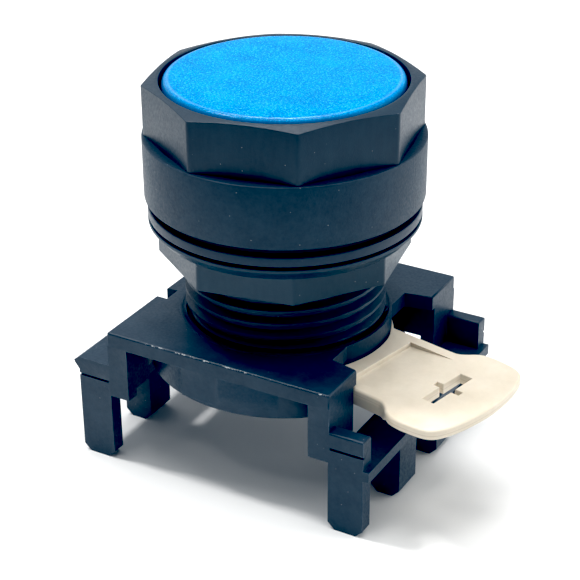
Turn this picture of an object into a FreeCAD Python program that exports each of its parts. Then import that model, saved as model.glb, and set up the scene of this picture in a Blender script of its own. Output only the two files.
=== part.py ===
import FreeCAD, Part
import math
import os

# Industrial push button for a 22 mm panel hole, with the latch that holds its contact blocks.
# Frame: millimetres. The origin is on the barrel's axis, in the plane of the drum's underside,
# where the panel's front face seats. +Z points out of the panel, towards the operator.
# +X is the middle of the locking lever's swing. The lever is shown against its locked stop.

V = FreeCAD.Vector
AXIS_X = V(1, 0, 0)
AXIS_Y = V(0, 1, 0)
AXIS_Z = V(0, 0, 1)

# ---------------------------------------------------------------- driving dimensions
BARREL_R = 11.0            # thread crest, for a hole of 22.3 mm
PITCH = 1.5
THREAD_DEPTH = 0.8
THREAD_CREST_FLAT = 0.3
DRUM_R = 15.0
DRUM_HEIGHT = 6.86
HEAD_HEIGHT = 12.7         # drum underside to bezel rim
FOOT_DROP = 29.8           # drum underside to the feet of the latch
LEVER_REST_DEG = -12.5     # locked, at one end of the lever's swing
LEVER_SWING_DEG = 25.0

SLIP = 0.3                 # between pieces that move past each other
RUNNING = 0.05             # radial, shaft in its guide
SEAT = 0.1                 # between pieces that are clamped together in use
JOIN = 0.1                 # overlap of two regions of one moulding
OVER = 1.0                 # how far a cutter passes the face it opens

# Cap, carrier and plunger
CAP_R = 12.7
CAP_TOP = HEAD_HEIGHT + 0.25
CAP_PLATE = 1.5
CAP_WALL = 1.1
CAP_SKIRT_Z = 8.4
CAP_EDGE = 0.95
CARRIER_FLANGE_R = CAP_R - CAP_WALL - 0.15
CARRIER_TOP = CAP_TOP - CAP_PLATE
CARRIER_FLANGE_T = 1.5
CARRIER_TUBE_R = 7.9
CARRIER_BORE_R = 6.5
CARRIER_LAND_TOP = -3.0
CARRIER_END = -12.0
PLUNGER_R = 4.0
PLUNGER_HEAD_TOP = -7.0
PLUNGER_TIP = -24.0
CLIP_R = 5.9
CLIP_T = 0.6
CLIP_GAP = 4.4
CLIP_GROOVE_DEPTH = 0.5

# Barrel, seen from the drum downwards
THREAD_ROOT_R = BARREL_R - THREAD_DEPTH
FIRST_CREST_Z = -1.3
CREST_COUNT = 9
THREAD_END_Z = -14.0
NECK_R = 10.15             # plain barrel below the thread
BORE_R = 8.6
BARREL_END_Z = -20.4
DRUM_FLOOR = 1.6
DRUM_BORE_R = 13.75
DRUM_EDGE = 0.15
GUIDE_T = 2.0
CLIP_TOP = BARREL_END_Z - 0.2
SEAL_R = 9.5
SEAL_T = 2.0
RATTLE_TOP = -14.9
RATTLE_T = 0.9
RATTLE_GROOVE_R = 9.6
RATTLE_RING_R = 9.96
RATTLE_WIRE_R = 0.34
KEY_IN = 9.4
KEY_OUT = 11.6
KEY_HALF = 1.0
KEY_TOP = -13.8
KEY_END = -14.75

# Return spring
SPRING_SEAT_R = 11.4
SPRING_SEAT_T = 0.4
SPRING_MEAN_R = 10.1
SPRING_WIRE_R = 0.4
SPRING_TURNS = 4
SPRING_FOOT = DRUM_FLOOR + SPRING_SEAT_T
SPRING_TOP = CARRIER_TOP - CARRIER_FLANGE_T

# Bezel
BEZEL_BORE_R = 13.0
BEZEL_CORNER_R = 14.84
BEZEL_CORNER_DEG = 34.7
BEZEL_RIM_R = 13.3
BEZEL_RIM_CUT = 0.2
BEZEL_CHAMFER_DROP = 0.44  # rim to octagon corner
BEZEL_SLEEVE_Z = 2.2

# Parts clamped against the panel
GASKET_R = 14.2
GASKET_T = 0.8
WASHER_R = 14.69
WASHER_T = 1.08
WASHER_TOP = -0.9
WASHER_EDGE = 0.12
NUT_FLANGE_R = 14.7
NUT_RIM = 0.3              # straight part of the flange's edge
NUT_HUB_R = 12.6
NUT_CORNER_R = 13.73
NUT_CORNER_DEG = 33.0
NUT_TOP = -2.35
NUT_STEP = -3.75           # where the flange's cone ends over the octagon
NUT_BOTTOM = -6.81
NUT_BORE_R = BARREL_R + SEAT

# Latch. X and Y sizes are half sizes, because the latch is symmetric about its plate's centre.
WALL = 1.6
PLATE_X = 13.55
PLATE_Y = 15.1
PLATE_TOP = -13.8
PLATE_UNDER = -15.5
PLATE_ROUND = 0.25
COLLAR_R = 11.7
COLLAR_BORE_R = NECK_R + 0.15
COLLAR_TOP = PLATE_TOP + 0.05
COLLAR_END = -16.3
BOSS_R = PLATE_Y
BOSS_BORE_R = BOSS_R - WALL
BOSS_END = -19.5
BOSS_CHAMFER = 0.3
CHANNEL_X = 10.4           # start of the lever's channel in the plate
CHANNEL_Y = 8.5            # its half width there, growing at the lever's swing angle
MOUTH_Y = 9.8              # opening below the plate, where the lever's neck swings
WINDOW_OUT = 11.1          # far end of the front windows, beside the hips
PIER_X = 4.1               # the pier fills the front plane from here to the middle
PIER_END = -18.8
HIP_END = -21.7
CHEEK_T = 1.4
SHELF_TOP = -17.9
SHELF_T = 1.3
SHELF_GAP_Y = 5.6
SLOT_Y = (3.3, 5.5)        # slots beside the tongue in the plate's far edge
SLOT_DEPTH = 1.45
POST_TOP = -18.1
POST_ROUND = 0.3
LEDGE_TOP = -21.55
LEDGE_UNDER = -22.75
LEDGE_X = 18.15
LEG_OUT = 17.5
LEG_Y_IN = 13.45
LEG_CHAMFER = 0.8
LEG_LINE_Z = -20.0         # fine mould line across the posts
LEG_LINE_HALF = 0.14
LEG_LINE_DEPTH = 0.25
INNER_LEG_X = (14.2, 17.6)
INNER_LEG_Y = (2.7, 6.7)
FOOT = -FOOT_DROP

# Lever, drawn with its arm along +X
LEVER_TOP = -15.8
LEVER_RING_R = 11.95       # hardly wider than the collar, which hides the ring from above
LEVER_LOBE_R = 12.6        # part of the ring at the back, for the detent's notches
LEVER_LOBE_DEG = 60.0
LEVER_RING_T = 2.4
LEVER_NECK_HALF = 6.45
LEVER_TAB_HALF = 8.3
LEVER_NECK_T = 2.0
LEVER_TAB_T = 1.15
LEVER_THIN_X = (19.2, 20.3)
LEVER_ROOT_X = 8.0
LEVER_FLARE_X = 17.9
LEVER_TIP = 28.0
# One side of the flare and the tab, from the neck to the tip, as (X, half width).
LEVER_EDGE = ((18.9, 6.55), (19.7, 7.05), (20.4, 7.7), (21.3, 8.15), (22.5, LEVER_TAB_HALF), (24.2, 8.2),
              (25.5, 7.95), (26.35, 7.4), (26.9, 6.5), (27.35, 5.2), (27.75, 3.2))
RECESS_HALF = 5.05
RECESS_X = (13.6, 14.2, 20.4)
RECESS_DEPTH = 0.5
CROSS_LONG = (21.65, 23.1, 3.25)
CROSS_SHORT = (20.8, 24.05, 0.35)
LUG_R = 9.6
LUG_DEG = 24.0
LUG_COUNT = 3
GROOVE_R = LUG_R - SLIP
GROOVE_TOP = -16.5
GROOVE_END = -18.5
RETAINER_BORE_R = 10.6
NOTCH_R = 0.6
NOTCH_OUT = 0.25
DETENT_T = 0.25
DETENT_DEG = 56.0
DETENT_BEAD_R = 0.45


# ---------------------------------------------------------------- helpers
def box(x0, x1, y0, y1, z0, z1):
    return Part.makeBox(x1 - x0, y1 - y0, z1 - z0, V(x0, y0, z0))


def cylinder(radius, z0, z1):
    return Part.makeCylinder(radius, z1 - z0, V(0, 0, z0))


def ring(outer, inner, z0, z1):
    return cylinder(outer, z0, z1).cut(cylinder(inner, z0 - OVER, z1 + OVER))


def prism(points, thickness, direction):
    """Straight prism over a closed outline of 3-D points."""
    face = Part.Face(Part.makePolygon(points + points[:1]))
    return face.extrude(direction * thickness)


def polygon_prism(sides, corner_r, corner_deg, z0, z1):
    angles = [math.radians(corner_deg + 360.0 * k / sides) for k in range(sides)]
    points = [V(corner_r * math.cos(a), corner_r * math.sin(a), z0) for a in angles]
    return prism(points, z1 - z0, AXIS_Z)


def turned(profile):
    """Solid of revolution about Z from (radius, height) points."""
    points = [V(r, 0, z) for r, z in profile]
    face = Part.Face(Part.makePolygon(points + points[:1]))
    return face.revolve(V(0, 0, 0), AXIS_Z, 360)


def sector(outer, inner, z0, z1, centre_deg, width_deg):
    """Ring sector, centred on an angle from +X."""
    solid = Part.makeCylinder(outer, z1 - z0, V(0, 0, z0), AXIS_Z, width_deg)
    solid = solid.cut(cylinder(inner, z0 - OVER, z1 + OVER))
    return spin(solid, centre_deg - width_deg / 2)


def spin(solid, degrees):
    solid.rotate(V(0, 0, 0), AXIS_Z, degrees)
    return solid


def mirrored(solid, normal):
    return solid.mirror(V(0, 0, 0), normal)


def both_sides(solid):
    """The solid and its mirror image across the plane Y = 0."""
    return solid.fuse(mirrored(solid, AXIS_Y))


def round_edges(solid, radius, wanted):
    """Fillet the edges that a test on the edge's box accepts."""
    edges = [edge for edge in solid.Edges if wanted(edge.BoundBox)]
    return solid.makeFillet(radius, edges)


def coil(mean_r, wire_r, z0, z1, turns):
    """Round-wire compression spring between two heights."""
    height = z1 - z0 - 2 * wire_r
    path = Part.makeHelix(height / turns, height, mean_r)
    section = Part.Wire(Part.makeCircle(wire_r, V(mean_r, 0, 0), AXIS_Y))
    solid = Part.Wire(path).makePipeShell([section], True, True)
    solid.translate(V(0, 0, z0 + wire_r))
    return solid


# ---------------------------------------------------------------- moving button
def button_cap():
    """Flat cap with a rounded rim and a skirt that runs inside the bezel."""
    skirt_in = CAP_R - CAP_WALL
    under = CAP_TOP - CAP_PLATE
    cup = turned([(0, CAP_TOP), (CAP_R, CAP_TOP), (CAP_R, CAP_SKIRT_Z), (skirt_in, CAP_SKIRT_Z),
                  (skirt_in, under), (0, under)])
    return round_edges(cup, CAP_EDGE, lambda b: b.ZMin > CAP_TOP - 0.01 and b.XLength > 2 * CAP_R - 0.1)


def button_carrier():
    """Flanged tube that carries the cap and slides in the barrel's bore."""
    land_r = BORE_R - RUNNING
    lead = land_r - CARRIER_TUBE_R
    return turned([(CARRIER_BORE_R, CARRIER_TOP), (CARRIER_FLANGE_R, CARRIER_TOP),
                   (CARRIER_FLANGE_R, SPRING_TOP), (CARRIER_TUBE_R, SPRING_TOP),
                   (CARRIER_TUBE_R, CARRIER_LAND_TOP), (land_r, CARRIER_LAND_TOP - lead),
                   (land_r, CARRIER_END), (CARRIER_BORE_R, CARRIER_END)])


def plunger():
    """Stem that is pressed into the carrier and pushes the contact blocks with its flat tip."""
    neck_r = PLUNGER_R - CLIP_GROOVE_DEPTH
    clip_low = CLIP_TOP - CLIP_T
    chamfer = 0.5
    return turned([(0, PLUNGER_HEAD_TOP), (CARRIER_BORE_R, PLUNGER_HEAD_TOP),
                   (CARRIER_BORE_R, CARRIER_END), (PLUNGER_R, CARRIER_END - 1.0),
                   (PLUNGER_R, CLIP_TOP), (neck_r, CLIP_TOP), (neck_r, clip_low),
                   (PLUNGER_R, clip_low), (PLUNGER_R, PLUNGER_TIP + chamfer),
                   (PLUNGER_R - chamfer, PLUNGER_TIP), (0, PLUNGER_TIP)])


def plunger_clip():
    """Snap ring in the plunger's groove. It stops the button's outward travel."""
    low = CLIP_TOP - CLIP_T
    full = ring(CLIP_R, PLUNGER_R - CLIP_GROOVE_DEPTH, low, CLIP_TOP)
    gap = box(0, CLIP_R + OVER, -CLIP_GAP / 2, CLIP_GAP / 2, low - OVER, CLIP_TOP + OVER)
    return full.cut(gap)


def return_spring():
    """Compression spring between the seat washer and the carrier's flange."""
    return coil(SPRING_MEAN_R, SPRING_WIRE_R, SPRING_FOOT, SPRING_TOP, SPRING_TURNS)


# ---------------------------------------------------------------- head that stays still
def barrel_body():
    """Drum, threaded barrel and bayonet end in one moulding."""
    seal_low = DRUM_FLOOR - SEAL_T
    profile = [(BORE_R, seal_low), (SEAL_R, seal_low), (SEAL_R, DRUM_FLOOR),
               (DRUM_BORE_R, DRUM_FLOOR), (DRUM_BORE_R, DRUM_HEIGHT),
               (DRUM_R - DRUM_EDGE, DRUM_HEIGHT), (DRUM_R, DRUM_HEIGHT - DRUM_EDGE),
               (DRUM_R, DRUM_EDGE), (DRUM_R - DRUM_EDGE, 0), (THREAD_ROOT_R, 0)]
    flank = (PITCH - 2 * THREAD_CREST_FLAT) / 2
    half = THREAD_CREST_FLAT / 2
    for k in range(CREST_COUNT):
        crest = FIRST_CREST_Z - k * PITCH
        profile.append((THREAD_ROOT_R, crest + half + flank))
        profile.append((BARREL_R, crest + half))
        profile.append((BARREL_R, crest - half))
        profile.append((THREAD_ROOT_R, crest - half - flank))
    rattle_low = RATTLE_TOP - RATTLE_T
    profile += [(THREAD_ROOT_R, THREAD_END_Z), (NECK_R, THREAD_END_Z), (NECK_R, RATTLE_TOP),
                (RATTLE_GROOVE_R, RATTLE_TOP), (RATTLE_GROOVE_R, rattle_low),
                (NECK_R, rattle_low), (NECK_R, GROOVE_TOP), (GROOVE_R, GROOVE_TOP),
                (GROOVE_R, GROOVE_END), (NECK_R, GROOVE_END), (NECK_R, BARREL_END_Z),
                (BORE_R, BARREL_END_Z)]
    solid = turned(profile)
    for k in range(LUG_COUNT):
        entry = LEVER_REST_DEG + LEVER_SWING_DEG + 360.0 * k / LUG_COUNT
        slot = sector(NECK_R + OVER, GROOVE_R, BARREL_END_Z - OVER, GROOVE_END + 0.5, entry, LUG_DEG + 3)
        solid = solid.cut(slot)
    keyway = box(-NECK_R - OVER, -KEY_IN + SEAT, -KEY_HALF - SEAT, KEY_HALF + SEAT,
                 BARREL_END_Z - OVER, KEY_TOP + SEAT)
    return solid.cut(keyway)


def wiper_seal():
    """Rubber ring with two lips, in a recess of the drum's floor, around the carrier."""
    top = DRUM_FLOOR
    low = DRUM_FLOOR - SEAL_T
    lip_r = CARRIER_TUBE_R + RUNNING
    waist_r = CARRIER_TUBE_R + 0.5
    lip = 0.4
    return turned([(SEAL_R, top), (lip_r, top), (lip_r, top - lip), (waist_r, top - 2 * lip),
                   (waist_r, low + 2 * lip), (lip_r, low + lip), (lip_r, low), (SEAL_R, low)])


def spring_seat():
    """Flat steel washer under the spring. It also keeps the wiper seal in its recess."""
    return ring(SPRING_SEAT_R, CARRIER_TUBE_R + SLIP, DRUM_FLOOR, SPRING_FOOT)


def bezel_ring():
    """Octagonal front ring with a shallow conical top and a sleeve that snaps into the drum."""
    reach = BEZEL_CORNER_R + OVER
    slope = BEZEL_CHAMFER_DROP / (BEZEL_CORNER_R - BEZEL_RIM_R)
    low_edge = HEAD_HEIGHT - slope * (reach - BEZEL_RIM_R)
    blank = turned([(BEZEL_BORE_R + BEZEL_RIM_CUT, HEAD_HEIGHT), (BEZEL_RIM_R, HEAD_HEIGHT),
                    (reach, low_edge), (reach, DRUM_HEIGHT), (BEZEL_BORE_R, DRUM_HEIGHT),
                    (BEZEL_BORE_R, HEAD_HEIGHT - BEZEL_RIM_CUT)])
    octagon = polygon_prism(8, BEZEL_CORNER_R, BEZEL_CORNER_DEG, DRUM_HEIGHT, HEAD_HEIGHT + OVER)
    top = blank.common(octagon)
    sleeve = ring(DRUM_BORE_R - RUNNING, BEZEL_BORE_R, BEZEL_SLEEVE_Z, DRUM_HEIGHT + JOIN)
    return top.fuse(sleeve).removeSplitter()


def bezel_gasket():
    return ring(DRUM_BORE_R - RUNNING, BEZEL_BORE_R, DRUM_FLOOR, BEZEL_SLEEVE_Z)


def plunger_guide():
    """Disc snapped into the barrel's lower end. Three windows leave room for air and dust."""
    top = BARREL_END_Z + GUIDE_T
    disc = ring(BORE_R, PLUNGER_R + RUNNING, BARREL_END_Z, top)
    for k in range(3):
        window = sector(7.4, 5.6, BARREL_END_Z - OVER, top + OVER, 60 + 120 * k, 70)
        disc = disc.cut(window)
    return disc


def panel_gasket():
    """Rubber gasket under the drum, with a raised bead at its outer edge."""
    inner = BARREL_R + SLIP
    bead = 0.2
    web_low = -GASKET_T + 0.15
    return turned([(inner, 0), (GASKET_R, 0), (GASKET_R, -GASKET_T + bead),
                   (GASKET_R - bead, -GASKET_T), (GASKET_R - 5 * bead, -GASKET_T),
                   (GASKET_R - 6 * bead, web_low), (inner, web_low)])


def anti_rattle_ring():
    """O-ring in the barrel's lower groove. It takes up the play inside the latch's collar."""
    return Part.makeTorus(RATTLE_RING_R, RATTLE_WIRE_R, V(0, 0, RATTLE_TOP - RATTLE_T / 2))


def locating_key():
    """Small key in the collar that stops the head turning in the latch."""
    return box(-KEY_OUT, -KEY_IN, -KEY_HALF, KEY_HALF, KEY_END, KEY_TOP)


# ---------------------------------------------------------------- washer and nut
def clamp_washer():
    """Thrust washer between the panel and the nut."""
    bore = BARREL_R + 0.15
    low = WASHER_TOP - WASHER_T
    return turned([(bore, WASHER_TOP), (WASHER_R - WASHER_EDGE, WASHER_TOP),
                   (WASHER_R, WASHER_TOP - WASHER_EDGE), (WASHER_R, low + WASHER_EDGE),
                   (WASHER_R - WASHER_EDGE, low), (bore, low)])


def mounting_nut():
    """Octagonal nut. A cone narrows from the round flange to a flat step over the octagon."""
    hub_top = WASHER_TOP - WASHER_T - SEAT
    lead_in = 0.4
    flange = turned([(NUT_BORE_R + lead_in, hub_top), (NUT_HUB_R, hub_top), (NUT_HUB_R, NUT_TOP),
                     (NUT_FLANGE_R, NUT_TOP), (NUT_FLANGE_R, NUT_TOP - NUT_RIM),
                     (NUT_CORNER_R, NUT_STEP), (NUT_BORE_R, NUT_STEP),
                     (NUT_BORE_R, hub_top - lead_in)])
    octagon = polygon_prism(8, NUT_CORNER_R, NUT_CORNER_DEG, NUT_BOTTOM, NUT_STEP + JOIN)
    body = octagon.cut(cylinder(NUT_BORE_R, NUT_BOTTOM - OVER, NUT_TOP))
    return flange.fuse(body).removeSplitter()


# ---------------------------------------------------------------- latch
def leg(x0, x1, y0, y1, top):
    """Leg with its two bottom corners taken off, seen from the front."""
    c = LEG_CHAMFER
    points = [V(x0, y0, top), V(x1, y0, top), V(x1, y0, FOOT + c), V(x1 - c, y0, FOOT),
              V(x0 + c, y0, FOOT), V(x0, y0, FOOT + c)]
    return prism(points, y1 - y0, AXIS_Y)


def channel_y(x):
    """Half width of the lever's channel in the plate, at a distance along X."""
    return CHANNEL_Y + (x - CHANNEL_X) * math.tan(math.radians(LEVER_SWING_DEG / 2))


def collar():
    """Tube round the barrel's neck, with a coned lead-in and a low lip above the plate."""
    lead_r = BARREL_R + 0.15
    return turned([(COLLAR_BORE_R, COLLAR_END), (COLLAR_R, COLLAR_END), (COLLAR_R, COLLAR_TOP),
                   (COLLAR_R - 0.3, COLLAR_TOP), (lead_r, COLLAR_TOP - 0.3),
                   (lead_r, COLLAR_TOP - 0.4), (COLLAR_BORE_R, COLLAR_TOP - 0.9)])


def latch_shell():
    """Top plate, front and rear walls with their windows, boss and collar."""
    solid = box(-PLATE_X, PLATE_X, -PLATE_Y, PLATE_Y, PLATE_UNDER, PLATE_TOP)
    solid = round_edges(solid, PLATE_ROUND, lambda b: b.ZMin > PLATE_TOP - 0.01 or b.ZLength > 1)
    boss = turned([(0, BOSS_END), (BOSS_R - BOSS_CHAMFER, BOSS_END), (BOSS_R, BOSS_END + BOSS_CHAMFER),
                   (BOSS_R, PLATE_UNDER + JOIN), (0, PLATE_UNDER + JOIN)])
    boss = boss.common(box(-PLATE_X, PLATE_X, -PLATE_Y, PLATE_Y, BOSS_END, PLATE_TOP))
    pier = box(-PIER_X, 0, BOSS_BORE_R, PLATE_Y, PIER_END, PLATE_UNDER + JOIN)
    hip = box(WINDOW_OUT, PLATE_X, PLATE_Y - WALL, PLATE_Y, HIP_END, PLATE_UNDER + JOIN)
    hips = hip.fuse(mirrored(hip, AXIS_X))
    solid = solid.fuse([boss, both_sides(pier.fuse(hips))])
    solid = solid.cut(cylinder(BOSS_BORE_R, BOSS_END - OVER, PLATE_UNDER))
    end_x = PLATE_X + OVER
    outline = [V(CHANNEL_X, CHANNEL_Y, PLATE_UNDER), V(end_x, channel_y(end_x), PLATE_UNDER),
               V(end_x, -channel_y(end_x), PLATE_UNDER), V(CHANNEL_X, -CHANNEL_Y, PLATE_UNDER)]
    channel = prism(outline, PLATE_TOP - PLATE_UNDER + OVER, AXIS_Z)
    mouth = box(0, end_x, -MOUTH_Y, MOUTH_Y, BOSS_END - OVER, PLATE_UNDER)
    bore = cylinder(BARREL_R, PLATE_UNDER - OVER, PLATE_TOP + OVER)
    solid = solid.cut([channel, mouth, bore]).fuse(collar())
    key_seat = box(-KEY_OUT, -KEY_IN, -KEY_HALF, KEY_HALF, KEY_END, COLLAR_TOP + OVER)
    return solid.cut(key_seat)


def latch_right_side():
    """Lever side: channel walls, corner towers and the ledge with an open pocket above it."""
    tower = box(PLATE_X - WALL, PLATE_X, MOUTH_Y, PLATE_Y, HIP_END, PLATE_UNDER + JOIN)
    cheek = box(CHANNEL_X, PLATE_X, MOUTH_Y, MOUTH_Y + CHEEK_T, BOSS_END, PLATE_UNDER + JOIN)
    post = leg(PLATE_X - JOIN, LEG_OUT, LEG_Y_IN, PLATE_Y, POST_TOP)
    post = round_edges(post, POST_ROUND, lambda b: b.ZMin > POST_TOP - 0.01)
    ledge = box(PLATE_X - JOIN, LEDGE_X, -PLATE_Y, PLATE_Y, LEDGE_UNDER, LEDGE_TOP)
    return both_sides(tower.fuse([cheek, post])).fuse(ledge)


def latch_left_side():
    """Far side: two shelves with a snap nose, each over a piece of outer wall, and the same ledge."""
    inner = box(-PLATE_X, -PLATE_X + WALL, 0, PLATE_Y, SHELF_TOP - SHELF_T, PLATE_UNDER + JOIN)
    shelf = box(-LEG_OUT, -PLATE_X + WALL, SHELF_GAP_Y, PLATE_Y, SHELF_TOP - SHELF_T, SHELF_TOP)
    outer = box(-LEG_OUT, -LEG_OUT + WALL, SHELF_GAP_Y, PLATE_Y, LEDGE_UNDER, SHELF_TOP)
    ledge = box(-LEDGE_X, -PLATE_X + JOIN, 0, LEG_Y_IN, LEDGE_UNDER, LEDGE_TOP)
    root = -LEG_OUT + 0.2
    section = ((root, 0.0), (-LEG_OUT, 0.0), (-LEDGE_X, -0.5), (-LEDGE_X + 0.1, -0.8), (-LEG_OUT, -1.5),
               (root, -1.5))
    nose = prism([V(x, SHELF_GAP_Y, SHELF_TOP + z) for x, z in section], PLATE_Y - SHELF_GAP_Y, AXIS_Y)
    post = leg(-LEG_OUT, -PLATE_X + JOIN, LEG_Y_IN, PLATE_Y, SHELF_TOP - 0.5)
    tower = box(-PLATE_X, -PLATE_X + WALL, MOUTH_Y, PLATE_Y, HIP_END, SHELF_TOP)
    return both_sides(inner.fuse([shelf, outer, ledge, nose, post, tower]))


def latch_base():
    """Holder that hooks onto the barrel behind the panel. Contact blocks clip between its legs."""
    inner = leg(INNER_LEG_X[0], INNER_LEG_X[1], INNER_LEG_Y[0], INNER_LEG_Y[1], LEDGE_TOP - JOIN)
    right = both_sides(inner)
    left = mirrored(right, AXIS_X)
    solid = latch_shell().fuse([latch_right_side(), latch_left_side(), right, left])
    line = box(PLATE_X + JOIN, LEG_OUT + OVER, PLATE_Y - LEG_LINE_DEPTH, PLATE_Y + OVER,
               LEG_LINE_Z - LEG_LINE_HALF, LEG_LINE_Z + LEG_LINE_HALF)
    lines = both_sides(line)
    solid = solid.cut([lines, mirrored(lines, AXIS_X)])
    # Two slots in the far edge of the plate leave a springy tongue between them.
    slot = box(-PLATE_X - OVER, -PLATE_X + SLOT_DEPTH, SLOT_Y[0], SLOT_Y[1], SHELF_TOP, PLATE_TOP + OVER)
    solid = solid.cut(both_sides(slot))
    # The lever's ring runs inside the boss, so the walls beside it keep clear of the bore.
    clear = cylinder(BOSS_BORE_R, LEDGE_UNDER, PLATE_UNDER).cut(cylinder(COLLAR_R, LEDGE_UNDER, 0))
    return solid.cut(clear).removeSplitter()


# ---------------------------------------------------------------- locking lever
def lever_outline(z):
    """Neck, flare and rounded tab, drawn along +X at one height."""
    half = LEVER_NECK_HALF
    upper = [V(LEVER_FLARE_X, half, z)] + [V(x, y, z) for x, y in LEVER_EDGE]
    lower = [V(p.x, -p.y, z) for p in reversed(upper)]
    rim = Part.BSplineCurve()
    rim.interpolate(Points=upper + [V(LEVER_TIP, 0, z)] + lower, InitialTangent=AXIS_X,
                    FinalTangent=AXIS_X * -1)
    corners = [lower[-1], V(LEVER_ROOT_X, -half, z), V(LEVER_ROOT_X, half, z), upper[0]]
    return Part.Wire([rim.toShape()] + Part.makePolygon(corners).Edges)


def locking_lever():
    """Ring with bayonet lugs around the barrel, and an arm that ends in a finger tab."""
    low = LEVER_TOP - LEVER_RING_T
    neck_low = LEVER_TOP - LEVER_NECK_T
    tab_low = LEVER_TOP - LEVER_TAB_T
    ring_top = COLLAR_END - SLIP
    width = 3 * LEVER_TAB_HALF
    arm = Part.Face(lever_outline(neck_low)).extrude(AXIS_Z * LEVER_NECK_T)
    thin_under = prism([V(LEVER_THIN_X[0], -width / 2, neck_low - JOIN),
                        V(LEVER_THIN_X[1], -width / 2, tab_low),
                        V(LEVER_TIP + OVER, -width / 2, tab_low),
                        V(LEVER_TIP + OVER, -width / 2, neck_low - JOIN)], width, AXIS_Y)
    arm = arm.cut(thin_under)
    lobe = sector(LEVER_LOBE_R, NECK_R, low, ring_top, 180, LEVER_LOBE_DEG)
    body = arm.fuse([cylinder(LEVER_RING_R, low, ring_top), lobe])
    body = body.cut(cylinder(LEVER_RING_R, ring_top, LEVER_TOP + OVER))
    body = body.cut(cylinder(NECK_R + 0.25, low - OVER, LEVER_TOP + OVER))
    # Ramped finger recess: deepest beside the ring, running out towards the tab.
    floor = LEVER_TOP - RECESS_DEPTH
    recess = prism([V(RECESS_X[0], -RECESS_HALF, LEVER_TOP + JOIN), V(RECESS_X[0], -RECESS_HALF, floor),
                    V(RECESS_X[1], -RECESS_HALF, floor), V(RECESS_X[2], -RECESS_HALF, LEVER_TOP + JOIN)],
                   2 * RECESS_HALF, AXIS_Y)
    body = body.cut(recess)
    for x0, x1, half in (CROSS_LONG, CROSS_SHORT):
        body = body.cut(box(x0, x1, -half, half, neck_low - OVER, LEVER_TOP + OVER))
    for k in range(LUG_COUNT):
        lug = sector(NECK_R + 0.5, LUG_R, low, GROOVE_TOP - SLIP, 360.0 * k / LUG_COUNT, LUG_DEG)
        body = body.fuse(lug)
    for stop in (0, LEVER_SWING_DEG):
        notch = Part.makeCylinder(NOTCH_R, LEVER_RING_T + 2 * OVER,
                                  V(-LEVER_LOBE_R - NOTCH_OUT, 0, low - OVER))
        body = body.cut(spin(notch, -LEVER_REST_DEG - stop))
    return spin(body.removeSplitter(), LEVER_REST_DEG)


def lever_retainer():
    """Ring snapped into the boss from below. The lever turns above it."""
    top = LEVER_TOP - LEVER_RING_T - SLIP
    edge = 0.2
    return turned([(RETAINER_BORE_R, top), (BOSS_BORE_R, top), (BOSS_BORE_R, BOSS_END + edge),
                   (BOSS_BORE_R - edge, BOSS_END), (RETAINER_BORE_R, BOSS_END)])


def detent_spring():
    """Curved steel leaf in the boss, with a rounded bead that faces the lever's two notches."""
    z0 = LEVER_TOP - LEVER_RING_T + 0.4
    z1 = LEVER_TOP - 0.4
    leaf = sector(BOSS_BORE_R, BOSS_BORE_R - DETENT_T, z0, z1, 180, DETENT_DEG)
    bead = Part.makeCylinder(DETENT_BEAD_R, z1 - z0, V(-BOSS_BORE_R + 0.3, 0, z0))
    return leaf.fuse(bead.common(cylinder(BOSS_BORE_R, z0, z1))).removeSplitter()


MAKERS = (button_cap, button_carrier, plunger, plunger_clip, return_spring, barrel_body, wiper_seal,
          spring_seat, bezel_ring, bezel_gasket, plunger_guide, panel_gasket, anti_rattle_ring,
          locating_key, clamp_washer, mounting_nut, latch_base, locking_lever, lever_retainer,
          detent_spring)

os.makedirs("parts", exist_ok=True)
for maker in MAKERS:
    shape = maker()
    if len(shape.Solids) != 1 or not shape.isValid():
        print("CHECK", maker.__name__, len(shape.Solids), shape.isValid())
    shape.exportStep("parts/" + maker.__name__ + ".step")
    size = shape.BoundBox
    print("%-18s %8.1f mm3  x %6.2f %6.2f  y %6.2f %6.2f  z %6.2f %6.2f" % (
        maker.__name__, shape.Volume, size.XMin, size.XMax, size.YMin, size.YMax,
        size.ZMin, size.ZMax))
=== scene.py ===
import math

import bpy
import bmesh
from mathutils import Matrix, Vector


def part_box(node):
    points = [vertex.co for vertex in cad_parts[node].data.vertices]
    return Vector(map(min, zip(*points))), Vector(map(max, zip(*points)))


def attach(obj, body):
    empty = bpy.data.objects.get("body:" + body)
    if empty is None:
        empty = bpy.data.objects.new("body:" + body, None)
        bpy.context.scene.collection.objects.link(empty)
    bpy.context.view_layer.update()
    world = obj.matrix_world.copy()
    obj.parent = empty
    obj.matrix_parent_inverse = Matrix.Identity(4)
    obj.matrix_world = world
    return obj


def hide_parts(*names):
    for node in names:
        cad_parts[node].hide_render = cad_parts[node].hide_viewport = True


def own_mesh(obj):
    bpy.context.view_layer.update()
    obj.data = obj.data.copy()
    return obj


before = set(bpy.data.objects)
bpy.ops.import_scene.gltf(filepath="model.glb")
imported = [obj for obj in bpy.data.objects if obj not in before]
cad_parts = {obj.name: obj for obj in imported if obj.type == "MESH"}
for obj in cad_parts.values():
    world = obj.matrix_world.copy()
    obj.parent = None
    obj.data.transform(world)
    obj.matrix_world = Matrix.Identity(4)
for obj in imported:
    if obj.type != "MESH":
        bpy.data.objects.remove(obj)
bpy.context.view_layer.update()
MM = 0.001
TAU = 2 * math.pi


def top_of(node):
    """Height of a CAD node's upper face, in millimetres."""
    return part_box(node)[1].z / MM


def bottom_of(node):
    """Height of a CAD node's lower face, in millimetres."""
    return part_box(node)[0].z / MM


def radius_of(node):
    """Half of a round CAD node's width, in millimetres."""
    low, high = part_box(node)
    return (high.y - low.y) / 2 / MM


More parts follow.
